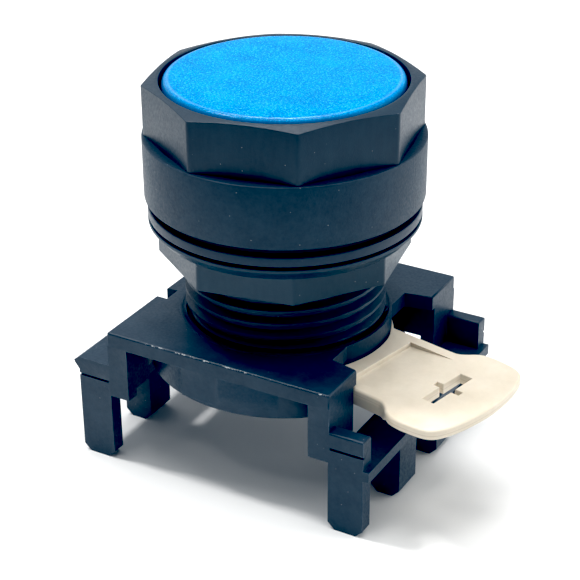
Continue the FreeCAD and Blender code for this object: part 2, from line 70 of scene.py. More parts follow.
# ------------------------------------------------------------------ sizes, in millimetres
# Barrel: drum, thread, neck, O-ring groove and bayonet groove. Heights are Z, with the panel's face at 0.
BARREL_R = 11.0
BORE_R = 8.6
DRUM_BORE_R = 13.75
DRUM_FLOOR = 1.6
SEAL_R = 9.5
SEAL_DEPTH = 2.0
THREAD_ROOT_R = 10.2
THREAD_PITCH = 1.5
THREAD_CREST = 0.3
THREAD_LAST_CREST_Z = -11.8
THREAD_Z = (-0.9, -13.9)
THREAD_FADE = 0.5
NECK_R = 10.15
NECK_TOP = -14.0
RATTLE_R = 9.6
RATTLE_Z = (-14.9, -15.8)
GROOVE_R = 9.3
GROOVE_Z = (-16.5, -18.5)
ENTRY_EXTRA_DEG = 3.0
KEY_PLAY = 0.1

# Lever: ring with three lugs and a lobe, arm with a neck and a finger tab.
LUG_R = 9.6
LUG_TOP = -16.8
LUG_DEG = 24.0
LUG_COUNT = 3
LEVER_REST_DEG = -12.5
LEVER_SWING_DEG = 25.0
LEVER_RING_R = 11.95
LEVER_LOW_BORE_R = 10.4
LEVER_STEP_Z = -16.6
LOBE_R = 12.6
LOBE_DEG = (150, 210)
NOTCH_R = 0.6
ARM_HALF = 6.45
ARM_X = (8.0, 12.0, 16.0, 17.9)
ARM_NECK_END = 20.2
ARM_NECK_T = 2.0
TAB_T = 1.15
TAB_TIP = 28.0
TAB_EDGE = [(18.9, 6.55), (19.7, 7.05), (20.4, 7.7), (21.3, 8.15), (22.5, 8.3), (24.2, 8.2),
            (25.5, 7.95), (26.35, 7.4), (26.9, 6.5), (27.35, 5.2), (27.75, 3.2)]
RECESS_START = 13.6
RECESS_END = 22.46
RECESS_DEPTH = 0.5
RECESS_HALF = 5.05
CROSS_BAR_X = (21.65, 23.1)
CROSS_BAR_HALF = 3.25
CROSS_SLIT_X = (20.8, 24.05)
CROSS_SLIT_HALF = 0.35
MOULD_LINE_DROP = 0.62

# Bezel, cap, gasket, washer and nut.
BEZEL_BORE_R = 13.0
BEZEL_RIM_R = 13.3
BEZEL_CORNER_R = 14.84
BEZEL_CORNER_DEG = 34.7
BEZEL_CHAMFER_DROP = 0.44
CAP_EDGE = 0.95
CAP_WALL = 1.1
CAP_CROWN = 1.5
GASKET_BORE_R = 11.3
GASKET_RIB = 0.15
WASHER_BORE_R = 11.15
NUT_CORNER_R = 13.73
NUT_CORNER_DEG = 33.0
NUT_BORE_R = 11.1
NUT_HUB_R = 12.6
NUT_TOP = -2.35
NUT_RIM = 0.3
NUT_STEP = -3.75

# Latch's plate and the ring that holds the lever, plunger, and the button's travel.
PLATE_TOP = -13.8
RETAINER_BORE_R = 10.6
PLUNGER_TOP = -7.0
PLUNGER_HEAD_R = 6.5
PLUNGER_STEM_R = 4.0
PLUNGER_CONE_Z = (-12.0, -13.0)
CLIP_GROOVE_R = 3.5

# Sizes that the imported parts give.
DRUM_R = radius_of("barrel_body")
DRUM_TOP = top_of("barrel_body")
BARREL_END = bottom_of("barrel_body")
HEAD_TOP = top_of("bezel_ring")
CAP_TOP = top_of("button_cap")
CAP_R = radius_of("button_cap")
LEVER_TOP = top_of("locking_lever")
LEVER_LOW = bottom_of("locking_lever")
FLOOR_Z = bottom_of("latch_base")

# Cutters run this far past the surface that they cut.
PAST = 1.0


# ------------------------------------------------------------------ mesh building
def new_object(name, data):
    """Object of that name in the scene, around a mesh, a light or a camera."""
    obj = bpy.data.objects.new(name, data)
    bpy.context.scene.collection.objects.link(obj)
    return obj


def solid_from(name, verts, faces):
    """Finished object made of points in metres and faces."""
    mesh = bpy.data.meshes.new(name)
    mesh.from_pydata(verts, [], faces)
    return finish_mesh(new_object(name, mesh))


def finish_mesh(obj, sharp_deg=32):
    """No doubled points, outward normals, smooth faces, and sharp edges at real corners."""
    bm = bmesh.new()
    bm.from_mesh(obj.data)
    bmesh.ops.remove_doubles(bm, verts=bm.verts, dist=0.002 * MM)
    bmesh.ops.dissolve_degenerate(bm, edges=bm.edges, dist=0.0005 * MM)
    bmesh.ops.recalc_face_normals(bm, faces=bm.faces)
    bm.to_mesh(obj.data)
    bm.free()
    for polygon in obj.data.polygons:
        polygon.use_smooth = True
    obj.data.set_sharp_from_angle(angle=math.radians(sharp_deg))
    return obj


def rounded(profile, radius=0.12, steps=3):
    """Closed (r, z) profile with a curve in place of each corner.

    A third value is a corner's own radius. A corner on the axis, or one that hardly turns, stays as it is,
    with its point repeated so that the profile's length doesn't depend on its shape.
    """
    least_turn = 0.05
    most_of_side = 0.45
    points = []
    count = len(profile)
    for i, corner in enumerate(profile):
        here = Vector(corner[:2])
        before = Vector(profile[i - 1][:2])
        after = Vector(profile[(i + 1) % count][:2])
        want = corner[2] if len(corner) > 2 else radius
        back = before - here
        ahead = after - here
        turn = math.pi - back.angle(ahead, math.pi)
        if want <= 0 or turn < least_turn or here.x < 1e-6:
            points += [tuple(here)] * (steps + 1)
            continue
        room = most_of_side * min(back.length, ahead.length)
        reach = min(want * math.tan(turn / 2), room)
        start = here + back.normalized() * reach
        end = here + ahead.normalized() * reach
        for k in range(steps + 1):
            t = k / steps
            points.append(tuple(start * (1 - t) ** 2 + here * 2 * t * (1 - t) + end * t * t))
    return points


def swept(name, profile_at, segments=256):
    """Solid swept once round Z.

    profile_at(angle) gives a closed (r, z) profile in mm, with the same number of points at every angle.
    """
    rings = [profile_at(TAU * k / segments) for k in range(segments)]
    rows = len(rings[0])
    verts = []
    for k, profile in enumerate(rings):
        c, s = math.cos(TAU * k / segments), math.sin(TAU * k / segments)
        verts += [(r * c * MM, r * s * MM, z * MM) for r, z in profile]
    faces = []
    for k in range(segments):
        a, b = k * rows, ((k + 1) % segments) * rows
        for j in range(rows):
            n = (j + 1) % rows
            faces.append((a + j, b + j, b + n, a + n))
    return solid_from(name, verts, faces)


def lathe(name, profile, radius=0.12, steps=3, segments=256):
    """Solid of revolution, with its profile's corners rounded."""
    points = rounded(profile, radius, steps)
    return swept(name, lambda angle: points, segments)


def octagon_r(angle, corner_r, corner_deg, soft=0.25):
    """Distance to an octagon's edge at an angle, its corners slightly blunted."""
    eighth = TAU / 8
    least_cut = 0.02
    off = (angle - math.radians(corner_deg)) % eighth
    from_corner = min(off, eighth - off)
    apothem = corner_r * math.cos(eighth / 2)
    flat = apothem / math.cos(eighth / 2 - from_corner)
    return min(flat, corner_r - soft * (1 / math.cos(eighth / 2) - 1) - least_cut)


def bevelled_copy(node, name, width):
    """The CAD node's own shape, with its flat faces merged and its hard edges slightly rounded."""
    flat_deg = 0.6
    hard_deg = 34
    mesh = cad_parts[node].data.copy()
    mesh.materials.clear()
    obj = new_object(name, mesh)
    bm = bmesh.new()
    bm.from_mesh(mesh)
    bmesh.ops.remove_doubles(bm, verts=bm.verts, dist=0.003 * MM)
    bmesh.ops.dissolve_limit(bm, angle_limit=math.radians(flat_deg), verts=bm.verts, edges=bm.edges)
    hard = [e for e in bm.edges if e.is_manifold and e.calc_face_angle(0) > math.radians(hard_deg)]
    bmesh.ops.bevel(bm, geom=hard, offset=width * MM, offset_type="OFFSET", segments=2,
                    profile=0.5, affect="EDGES", clamp_overlap=True)
    bm.to_mesh(mesh)
    bm.free()
    return finish_mesh(obj, 28)


# ------------------------------------------------------------------ materials
# Colours are linear. A noise's scale counts its features to the metre, so 5000 is a grain of 0.2 mm.
class Nodes:
    """Small helper around a material's node tree."""

    def __init__(self, name):
        self.material = bpy.data.materials.new(name)
        self.material.use_nodes = True
        self.tree = self.material.node_tree
        self.shader = self.tree.nodes["Principled BSDF"]
        self.place = self.add("ShaderNodeTexCoord").outputs["Object"]

    def add(self, kind, **settings):
        """New node of a kind, with some of its settings."""
        node = self.tree.nodes.new(kind)
        for key, value in settings.items():
            setattr(node, key, value)
        return node

    def link(self, source, target):
        self.tree.links.new(source, target)

    def noise(self, scale, detail=3.0, roughness=0.6, stretch=None):
        """Noise in object space. stretch multiplies its scale along X, Y and Z."""
        node = self.add("ShaderNodeTexNoise")
        node.inputs["Scale"].default_value = scale
        node.inputs["Detail"].default_value = detail
        node.inputs["Roughness"].default_value = roughness
        place = self.place
        if stretch:
            mapping = self.add("ShaderNodeMapping")
            mapping.inputs["Scale"].default_value = stretch
            self.link(self.place, mapping.inputs["Vector"])
            place = mapping.outputs["Vector"]
        self.link(place, node.inputs["Vector"])
        return node.outputs["Fac"]

    def ramp(self, source, low, high, out_low=0.0, out_high=1.0):
        """Takes low to out_low and high to out_high, in a straight line that stops at both."""
        node = self.add("ShaderNodeMapRange")
        ends = {"From Min": low, "From Max": high, "To Min": out_low, "To Max": out_high}
        for socket, value in ends.items():
            node.inputs[socket].default_value = value
        self.link(source, node.inputs["Value"])
        return node.outputs["Result"]

    def math(self, operation, a, b):
        """Math node. a and b are each a socket or a number."""
        node = self.add("ShaderNodeMath", operation=operation)
        for socket, value in zip(node.inputs, (a, b)):
            if isinstance(value, (int, float)):
                socket.default_value = value
            else:
                self.link(value, socket)
        return node.outputs["Value"]

    def product(self, a, b):
        return self.math("MULTIPLY", a, b)

    def weighed(self, a, share, b):
        """Two noises in one, with the given share of the first."""
        return self.math("ADD", self.product(a, share), self.product(b, 1 - share))

    def mix(self, factor, a, b):
        """Colour between a and b. Sockets 6 and 7 and output 2 are the Mix node's colour ones."""
        node = self.add("ShaderNodeMix", data_type="RGBA")
        self.link(factor, node.inputs["Factor"])
        for socket, value in ((node.inputs[6], a), (node.inputs[7], b)):
            if isinstance(value, tuple):
                socket.default_value = (*value, 1.0)
            else:
                self.link(value, socket)
        return node.outputs[2]

    def xyz(self, vector):
        """The three parts of a vector, by name."""
        parts = self.add("ShaderNodeSeparateXYZ")
        self.link(vector, parts.inputs["Vector"])
        return parts.outputs

    def off(self, value, centre):
        """Distance of a value from a number."""
        return self.math("ABSOLUTE", self.math("SUBTRACT", value, centre), 0)

    def specks(self, scale, size, share):
        """Mask of small dots: one in each Voronoi cell, kept in some of the cells."""
        cell = self.add("ShaderNodeTexVoronoi")
        cell.inputs["Scale"].default_value = scale
        self.link(self.place, cell.inputs["Vector"])
        dot = self.ramp(cell.outputs["Distance"], size, size * 0.5)
        parts = self.add("ShaderNodeSeparateColor")
        self.link(cell.outputs["Color"], parts.inputs["Color"])
        return self.product(dot, self.math("LESS_THAN", parts.outputs["Red"], share))

    def edges(self, radius, gain):
        """Mask that is 1 on hard edges: where a rounded normal leaves the true one."""
        same = 0.995
        bevel = self.add("ShaderNodeBevel", samples=4)
        bevel.inputs["Radius"].default_value = radius * MM
        agreement = self.add("ShaderNodeVectorMath", operation="DOT_PRODUCT")
        self.link(bevel.outputs["Normal"], agreement.inputs[0])
        self.link(self.add("ShaderNodeNewGeometry").outputs["Normal"], agreement.inputs[1])
        return self.ramp(agreement.outputs["Value"], same, same - gain)

    def set_colour(self, colour):
        self.link(colour, self.shader.inputs["Base Color"])

    def set_roughness(self, source, smooth, rough):
        """Roughness between two values, by a noise."""
        self.link(self.ramp(source, 0.3, 0.7, smooth, rough), self.shader.inputs["Roughness"])

    def set_bump(self, height, depth):
        """Bump by a noise, as deep as depth in millimetres."""
        node = self.add("ShaderNodeBump")
        node.inputs["Distance"].default_value = depth * MM
        node.inputs["Strength"].default_value = 1.0
        self.link(height, node.inputs["Height"])
        self.link(node.outputs["Normal"], self.shader.inputs["Normal"])

    def set_plain(self, **values):
        """Shader values that are the same all over, by socket name with _ for a space."""
        for name, value in values.items():
            self.shader.inputs[name.replace("_", " ")].default_value = value


def moulded(name, dark, light, rough=(0.32, 0.46), grain=6000, grain_depth=0.012, edge_wear_and_highlight=0.5, streak=None):
    """Moulded plastic: fine grain, cloudy tone, paler edges that are partly wear and partly painted
    highlight, and a little dust.
    """
    dust_share, dust_strength = 0.175, 0.3
    dust = (0.55, 0.56, 0.56)
    worn_and_lit = tuple(c * 3 + 0.05 for c in light)
    n = Nodes(name)
    tone = n.weighed(n.noise(260, 4), 0.6, n.noise(1400, 3, stretch=streak))
    colour = n.mix(n.ramp(tone, 0.36, 0.64), dark, light)
    # Paler hard edges, broken up by a noise: partly wear, partly a painted highlight where a rounded edge
    # catches the light.
    rubbed_and_lit = n.product(n.edges(0.16, 0.12), n.ramp(n.noise(900, 4), 0.42, 0.72, 0.0, edge_wear_and_highlight))
    colour = n.mix(rubbed_and_lit, colour, worn_and_lit)
    colour = n.mix(n.product(n.specks(1400, 0.09, dust_share), dust_strength), colour, dust)
    n.set_colour(colour)
    n.set_roughness(n.noise(3200, 2), *rough)
    n.set_bump(n.noise(grain, 2), grain_depth)
    n.set_plain(Specular_IOR_Level=0.42)
    return n


def cap_material():
    """Azure cap with a spark-eroded grain and painted glints on it: a dull face, a gloss where the edge
    turns, and painted shade on its side.
    """
    deep, bright = (0.0, 0.15, 0.40), (0.0, 0.28, 0.67)
    # The dark azure is painted shade for the cap's side, where it faces away from the light.
    painted_glint, edge = (0.04, 0.46, 0.9), (0.0, 0.11, 0.28)
    n = Nodes("cap_azure")
    cloud = n.noise(300, 3)
    grain = n.noise(5200, 3, 0.65)
    colour = n.mix(n.ramp(n.weighed(cloud, 0.25, grain), 0.4, 0.58), deep, bright)
    # Painted glint: the grain's brightest specks get a paler azure, standing in for the sparkle of light off
    # the grain.
    colour = n.mix(n.ramp(grain, 0.56, 0.66, 0.0, 0.6), colour, painted_glint)
    level = n.xyz(n.add("ShaderNodeNewGeometry").outputs["Normal"])["Z"]
    # Painted shade: the colour darkens as the normal turns from up towards the cap's side.
    n.set_colour(n.mix(n.ramp(level, 0.95, 0.6, 0.0, 0.8), colour, edge))
    n.link(n.ramp(grain, 0.35, 0.65, 0.13, 0.26), n.shader.inputs["Roughness"])
    n.set_bump(grain, 0.022)
    off_flat = n.ramp(level, 0.995, 0.975, 0.06, 0.9)
    off_side = n.ramp(level, 0.92, 0.96, 0.12, 1.0)
    n.link(n.product(off_flat, off_side), n.shader.inputs["Specular IOR Level"])
    n.set_plain(Subsurface_Weight=0.05, Subsurface_Radius=(0.0004, 0.0008, 0.001))
    return n.material


def lever_material():
    """Warm beige moulding: cloudy tone, faint smudges, a mould line round the arm and a fine grain."""
    shade, cream = (0.66, 0.58, 0.45), (0.78, 0.7, 0.57)
    speck, line = (0.25, 0.17, 0.11), (0.42, 0.33, 0.22)
    line_half = 0.07 * MM
    n = Nodes("lever_cream")
    cloud = n.noise(140, 4)
    smudge = n.noise(420, 5, 0.7)
    colour = n.mix(n.ramp(n.weighed(cloud, 0.5, smudge), 0.35, 0.65), shade, cream)
    colour = n.mix(n.product(n.specks(420, 0.06, 0.05), 0.6), colour, speck)
    n.set_roughness(smudge, 0.32, 0.48)
    off_line = n.off(n.xyz(n.place)["Z"], (LEVER_TOP - MOULD_LINE_DROP) * MM)
    groove = n.ramp(off_line, 0.0, line_half, 1.0, 0.0)
    n.set_colour(n.mix(n.product(groove, 0.45), colour, line))
    n.set_bump(n.noise(5200, 2), 0.006)
    n.set_plain(Subsurface_Weight=0.12, Subsurface_Radius=(0.0012, 0.0008, 0.0005))
    return n.material


def latch_material():
    """Glass-filled black plastic, with pale stress marks along the plate's front upper edge."""
    pale = (0.75, 0.78, 0.8)
    inset = 0.06
    n = moulded("latch_black", (0.009, 0.019, 0.034), (0.018, 0.033, 0.052), rough=(0.36, 0.52),
                grain=5200, grain_depth=0.014, edge_wear_and_highlight=0.75)
    plate_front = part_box("latch_base")[0].y
    place = n.xyz(n.place)
    off_top = n.off(place["Z"], (PLATE_TOP - inset) * MM)
    off_front = n.off(place["Y"], plate_front + inset * MM)
    ragged = n.ramp(n.noise(2100, 4, 0.75), 0.35, 0.75, -0.1 * MM, 0.17 * MM)
    from_left = n.ramp(place["X"], -10.5 * MM, -8.5 * MM)
    broken = n.product(n.ramp(n.noise(420, 3), 0.42, 0.56), from_left)
    mark = n.product(n.math("LESS_THAN", n.math("MAXIMUM", off_top, off_front), ragged), broken)
    plain = n.shader.inputs["Base Color"].links[0].from_socket
    n.set_colour(n.mix(n.product(mark, 0.65), plain, pale))
    return n.material


def rubber_material():
    """Matt black rubber with a coarse tooth."""
    n = Nodes("rubber_black")
    n.set_colour(n.mix(n.ramp(n.noise(500, 4), 0.35, 0.65), (0.004, 0.005, 0.008), (0.011, 0.013, 0.017)))
    n.set_roughness(n.noise(2600, 3), 0.62, 0.85)
    n.set_bump(n.noise(4200, 3), 0.012)
    n.set_plain(Specular_IOR_Level=0.3)
    return n.material


def steel_material(name, tint, stretch):
    """Drawn or rolled steel with fine lines and slight tarnish."""
    dull = tuple(c * 0.6 for c in tint)
    n = Nodes(name)
    lines = n.noise(2500, 3, stretch=stretch)
    n.set_colour(n.mix(n.ramp(n.noise(600, 4), 0.35, 0.7), tint, dull))
    n.set_roughness(lines, 0.22, 0.42)
    n.set_bump(lines, 0.004)
    n.set_plain(Metallic=1.0)
    return n.material


def floor_material():
    """Matt white paper sweep with a barely visible tooth."""
    n = Nodes("sweep_white")
    n.set_colour(n.mix(n.ramp(n.noise(30, 4), 0.3, 0.7), (0.86, 0.87, 0.87), (0.9, 0.905, 0.905)))
    n.set_roughness(n.noise(400, 3), 0.6, 0.75)
    n.set_plain(Specular_IOR_Level=0.2)
    return n.material


# ------------------------------------------------------------------ pieces
def use(obj, material, body, node):
    """Give a piece its finish and its body, and let it stand for the CAD node."""
    obj.data.materials.clear()
    obj.data.materials.append(material)
    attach(obj, body)
    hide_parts(node)


def build_cap():
    """Cap with a full rounded edge, a face that sinks by a hair towards its middle, and a hollow skirt."""
    skirt = bottom_of("button_cap")
    inner = CAP_R - CAP_WALL
    under = CAP_TOP - CAP_CROWN
    profile = [(0, CAP_TOP - 0.03), (CAP_R * 0.7, CAP_TOP - 0.02), (CAP_R, CAP_TOP, CAP_EDGE),
               (CAP_R, skirt, 0.1), (inner, skirt, 0.1), (inner, under, 0.2), (0, under)]
    return lathe("blue_cap", profile, radius=0.0, steps=8, segments=320)


def build_bezel():
    """Octagon with a conical top, on a round sleeve. The flats cut the cone in shallow arcs."""
    play, least_ledge = 0.05, 0.02
    slope = BEZEL_CHAMFER_DROP / (BEZEL_CORNER_R - BEZEL_RIM_R)
    sleeve_r = DRUM_BORE_R - play
    sleeve_z = bottom_of("bezel_ring")

    def profile_at(angle):
        edge = octagon_r(angle, BEZEL_CORNER_R, BEZEL_CORNER_DEG)
        brow = HEAD_TOP - slope * (edge - BEZEL_RIM_R)
        low_r = max(edge, sleeve_r + least_ledge)
        profile = [(BEZEL_BORE_R, HEAD_TOP, 0.26), (BEZEL_RIM_R, HEAD_TOP, 0.06), (edge, brow, 0.1),
                   (low_r, DRUM_TOP, 0.08), (sleeve_r, DRUM_TOP, 0.0), (sleeve_r, sleeve_z, 0.1),
                   (BEZEL_BORE_R, sleeve_z, 0.1)]
        return rounded(profile, steps=4)

    return swept("octagon_bezel", profile_at, 640)


def thread_r(z, angle):
    """Radius of the right-hand thread's surface at a height and an angle."""
    flank = (THREAD_PITCH - 2 * THREAD_CREST) / 2
    phase = (z - THREAD_LAST_CREST_Z - THREAD_PITCH * angle / TAU) % THREAD_PITCH
    off_crest = min(phase, THREAD_PITCH - phase) - THREAD_CREST / 2
    depth = min(1.0, max(0.0, off_crest / flank))
    return BARREL_R - (BARREL_R - THREAD_ROOT_R) * depth


def build_barrel():
    """Drum with softened edges, a real helical thread, the O-ring groove and the bayonet end."""
    rows = 216
    thread_top, thread_low = THREAD_Z
    seal_z = DRUM_FLOOR - SEAL_DEPTH
    upper = rounded([(BORE_R, seal_z), (SEAL_R, seal_z), (SEAL_R, DRUM_FLOOR), (DRUM_BORE_R, DRUM_FLOOR),
                     (DRUM_BORE_R, DRUM_TOP, 0.1), (DRUM_R, DRUM_TOP, 0.22), (DRUM_R, 0.0, 0.3),
                     (THREAD_ROOT_R, 0.0, 0.1)], 0.08)
    lower = rounded([(THREAD_ROOT_R, NECK_TOP), (NECK_R, NECK_TOP - 0.05), (NECK_R, RATTLE_Z[0]),
                     (RATTLE_R, RATTLE_Z[0]), (RATTLE_R, RATTLE_Z[1]), (NECK_R, RATTLE_Z[1]),
                     (NECK_R, GROOVE_Z[0]), (GROOVE_R, GROOVE_Z[0]), (GROOVE_R, GROOVE_Z[1]),
                     (NECK_R, GROOVE_Z[1]), (NECK_R, BARREL_END, 0.2), (BORE_R, BARREL_END, 0.2)], 0.08)

    def profile_at(angle):
        thread = []
        for k in range(rows + 1):
            z = thread_top + (thread_low - thread_top) * k / rows
            share = max(0.0, min(1.0, (thread_top - z) / THREAD_FADE, (z - thread_low) / THREAD_FADE))
            thread.append((THREAD_ROOT_R + (thread_r(z, angle) - THREAD_ROOT_R) * share, z))
        return upper + thread + lower

    return swept("threaded_barrel", profile_at, 288)


def cut_bayonet(barrel):
    """Entry slots for the lever's lugs and the keyway, cut from the barrel's end."""
    half = math.radians(LUG_DEG + ENTRY_EXTRA_DEG) / 2
    cutters = []
    for k in range(LUG_COUNT):
        centre = math.radians(LEVER_REST_DEG + LEVER_SWING_DEG + 360 / LUG_COUNT * k)
        cutters.append(wedge(centre - half, centre + half, GROOVE_R, NECK_R + PAST,
                             BARREL_END - PAST, GROOVE_Z[1] + 0.5))
    low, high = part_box("locating_key")
    play = KEY_PLAY * MM
    cutters.append(slab((-NECK_R - PAST) * MM, high.x + play, low.y - play, high.y + play,
                        (BARREL_END - PAST) * MM, high.z + play))
    for cutter in cutters:
        combine(barrel, cutter)
    return finish_mesh(barrel)


def combine(obj, other, operation="DIFFERENCE"):
    """Boolean of two closed meshes. The second object is used up."""
    modifier = obj.modifiers.new("combine", "BOOLEAN")
    modifier.operation = operation
    modifier.object = other
    modifier.solver = "EXACT"
    apply_modifiers(obj)
    bpy.data.objects.remove(other)


def apply_modifiers(obj):
    """The object's mesh as its modifiers leave it, with none of them left on it."""
    graph = bpy.context.evaluated_depsgraph_get()
    mesh = bpy.data.meshes.new_from_object(obj.evaluated_get(graph))
    obj.modifiers.clear()
    old = obj.data
    obj.data = mesh
    bpy.data.meshes.remove(old)


def wedge(start, end, inner, outer, z0, z1, steps=10):
    """Ring sector between two angles."""
    verts = []
    for k in range(steps + 1):
        a = start + (end - start) * k / steps
        for r, z in ((inner, z0), (outer, z0), (outer, z1), (inner, z1)):
            verts.append((r * math.cos(a) * MM, r * math.sin(a) * MM, z * MM))
    faces = [(0, 1, 2, 3), tuple(4 * steps + i for i in (3, 2, 1, 0))]
    for k in range(steps):
        for j in range(4):
            a, n = 4 * k, (j + 1) % 4
            faces.append((a + j, a + 4 + j, a + 4 + n, a + n))
    return solid_from("cutter", verts, faces)


def slab(x0, x1, y0, y1, z0, z1):
    """Box between two corners, in metres."""
    bm = bmesh.new()
    bmesh.ops.create_cube(bm, size=1.0)
    for v in bm.verts:
        v.co = Vector((x0 if v.co.x < 0 else x1, y0 if v.co.y < 0 else y1, z0 if v.co.z < 0 else z1))
    mesh = bpy.data.meshes.new("cutter")
    bm.to_mesh(mesh)
    bm.free()
    return new_object("cutter", mesh)


def build_gasket():
    """Flat ring with a low rib under its rim."""
    top, low = top_of("panel_gasket"), bottom_of("panel_gasket")
    r = radius_of("panel_gasket")
    face = low + GASKET_RIB
    return lathe("drum_gasket", [(GASKET_BORE_R, top), (r, top), (r, low + 0.2), (r - 0.2, low),
                                 (r - 1.0, low), (r - 1.2, face), (GASKET_BORE_R, face)], 0.08)


def build_washer():
    """Plain ring with rounded edges."""
    top, low = top_of("clamp_washer"), bottom_of("clamp_washer")
    r = radius_of("clamp_washer")
    return lathe("thrust_washer", [(WASHER_BORE_R, top), (r, top), (r, low), (WASHER_BORE_R, low)], 0.14, 4)


def build_nut():
    """Flange, cone, a flat step over the octagon and its flats, in one sweep."""
    hub = top_of("mounting_nut")
    low = bottom_of("mounting_nut")
    flange_r = radius_of("mounting_nut")
    top_chamfer, low_chamfer = 0.4, 0.5

    def profile_at(angle):
        edge = octagon_r(angle, NUT_CORNER_R, NUT_CORNER_DEG, 0.12)
        return rounded([(NUT_BORE_R + top_chamfer, hub), (NUT_HUB_R, hub, 0.05), (NUT_HUB_R, NUT_TOP, 0.05),
                        (flange_r, NUT_TOP, 0.1), (flange_r, NUT_TOP - NUT_RIM, 0.1),
                        (NUT_CORNER_R, NUT_STEP, 0.08), (edge, NUT_STEP, 0.06), (edge, low, 0.08),
                        (NUT_BORE_R + low_chamfer, low, 0.1), (NUT_BORE_R, low + low_chamfer, 0.1),
                        (NUT_BORE_R, hub - top_chamfer, 0.1)], steps=3)

    return swept("octagon_nut", profile_at, 640)


def smooth_line(points, per_span=6):
    """Catmull-Rom curve through (x, y) points, ends included."""
    chain = [points[0]] + points + [points[-1]]
    line = []
    for spans in zip(chain, chain[1:], chain[2:], chain[3:]):
        for k in range(per_span):
            t = k / per_span
            line.append(tuple(0.5 * (2 * b + (c - a) * t + (2 * a - 5 * b + 4 * c - d) * t * t
                                     + (3 * b - a - 3 * c + d) * t ** 3) for a, b, c, d in zip(*spans)))
    return line + [points[-1]]


def offset_line(outline, distance):
    """Anticlockwise (x, y) outline moved outwards, with mitred corners."""
    longest_mitre = 0.3
    moved = []
    for i, point in enumerate(outline):
        here = Vector(point)
        a = (here - Vector(outline[i - 1])).normalized()
        b = (Vector(outline[(i + 1) % len(outline)]) - here).normalized()
        normal = Vector((a.y + b.y, -a.x - b.x)).normalized()
        share = max(longest_mitre, normal.dot(Vector((a.y, -a.x))))
        moved.append(here + normal * (distance / share))
    return moved


def stacked(name, outline, sections):
    """Solid between copies of an outline. Each section is (height, outward offset), in mm."""
    count = len(outline)
    verts = []
    for z, distance in sections:
        verts += [(p.x * MM, p.y * MM, z * MM) for p in offset_line(outline, distance)]
    last = (len(sections) - 1) * count
    faces = [tuple(reversed(range(count))), tuple(range(last, last + count))]
    for row in range(0, last, count):
        for i in range(count):
            n = (i + 1) % count
            faces.append((row + i, row + n, row + count + n, row + count + i))
    return solid_from(name, verts, faces)


def soft_edge(z, radius, up, steps=5):
    """Sections of a rounded rim, from the flat face at height z towards the side wall."""
    rows = [(z, -radius - 0.08)]
    for k in range(steps + 1):
        a = math.pi / 2 * k / steps
        rows.append((z + up * radius * (1 - math.cos(a)), -radius * (1 - math.sin(a))))
    return rows


def prism_along_y(points, half):
    """Prism over an (x, z) outline, centred on Y = 0."""
    count = len(points)
    verts = [(x * MM, y * MM, z * MM) for y in (-half, half) for x, z in points]
    faces = [tuple(range(count)), tuple(reversed(range(count, 2 * count)))]
    faces += [(i, i + count, (i + 1) % count + count, (i + 1) % count) for i in range(count)]
    return solid_from("cutter", verts, faces)


def circle_line(radius, x, steps=40):
    """Anticlockwise circle, centred on the X axis."""
    angles = [TAU * k / steps for k in range(steps)]
    return [(x + radius * math.cos(a), radius * math.sin(a)) for a in angles]


# The lever's pieces overlap before they are joined, and a hair's offset keeps their faces out of one plane.
OVERLAP = 0.3
HAIR = 0.02


def arm_outline():
    """Anticlockwise outline of the neck and the finger tab, seen from above."""
    half = [(x, ARM_HALF) for x in ARM_X] + TAB_EDGE
    outline = smooth_line(half + [(TAB_TIP, 0.0)] + [(x, -y) for x, y in reversed(half)])
    outline.reverse()
    return outline


def recess():
    """Cutter for the finger recess: a wall at the neck, and a floor that ramps up to the tab's face."""
    floor = LEVER_TOP - RECESS_DEPTH
    over = LEVER_TOP + 0.3
    return prism_along_y([(RECESS_START, over), (RECESS_START - 0.06, LEVER_TOP + HAIR),
                          (RECESS_START, LEVER_TOP - 0.06), (RECESS_START + 0.08, floor + 0.04),
                          (RECESS_START + 0.16, floor), (RECESS_START + 0.6, floor), (RECESS_END, over)],
                         RECESS_HALF)


def cross_hole():
    """Cutter for the hole: a wide bar crossed by a narrow slit, with its upper edge slightly broken."""
    (bar_0, bar_1), bar = CROSS_BAR_X, CROSS_BAR_HALF
    (slit_0, slit_1), slit = CROSS_SLIT_X, CROSS_SLIT_HALF
    outline = [(bar_0, -bar), (bar_1, -bar), (bar_1, -slit), (slit_1, -slit), (slit_1, slit), (bar_1, slit),
               (bar_1, bar), (bar_0, bar), (bar_0, slit), (slit_0, slit), (slit_0, -slit), (bar_0, -slit)]
    broken = 0.08
    return stacked("cutter", outline, [(LEVER_LOW, 0.0), (LEVER_TOP - 0.1, 0.0), (LEVER_TOP - 0.03, 0.03),
                                       (LEVER_TOP + 0.01, broken), (LEVER_TOP + PAST, broken)])


def thick_neck(outline, tab_low):
    """The arm's thicker root, with an underside that ramps up to the tab's."""
    neck_low = LEVER_TOP - ARM_NECK_T
    ramp_start, ramp_end, end = 19.2, 20.4, 21
    sections = [(z, distance - HAIR) for z, distance in soft_edge(neck_low, 0.25, 1)]
    sections.append((LEVER_TOP - 0.6, -HAIR))
    neck = stacked("neck", [point for point in outline if point[0] < ARM_NECK_END], sections)
    ramp = [(ramp_start, neck_low - 0.5), (ramp_start, neck_low), (ramp_end, tab_low + 0.05),
            (end, tab_low + 0.05), (end, neck_low - 0.5)]
    combine(neck, prism_along_y(ramp, 12))
    return neck


def bore(steps):
    """Cutter for a round hole through the lever. Each step up is (radius, height where it ends)."""
    z = LEVER_LOW - PAST
    profile = [(0.0, z)]
    for radius, end in steps:
        profile += [(radius, z), (radius, end)]
        z = end
    return lathe("cutter", profile + [(0.0, z)], 0.0)


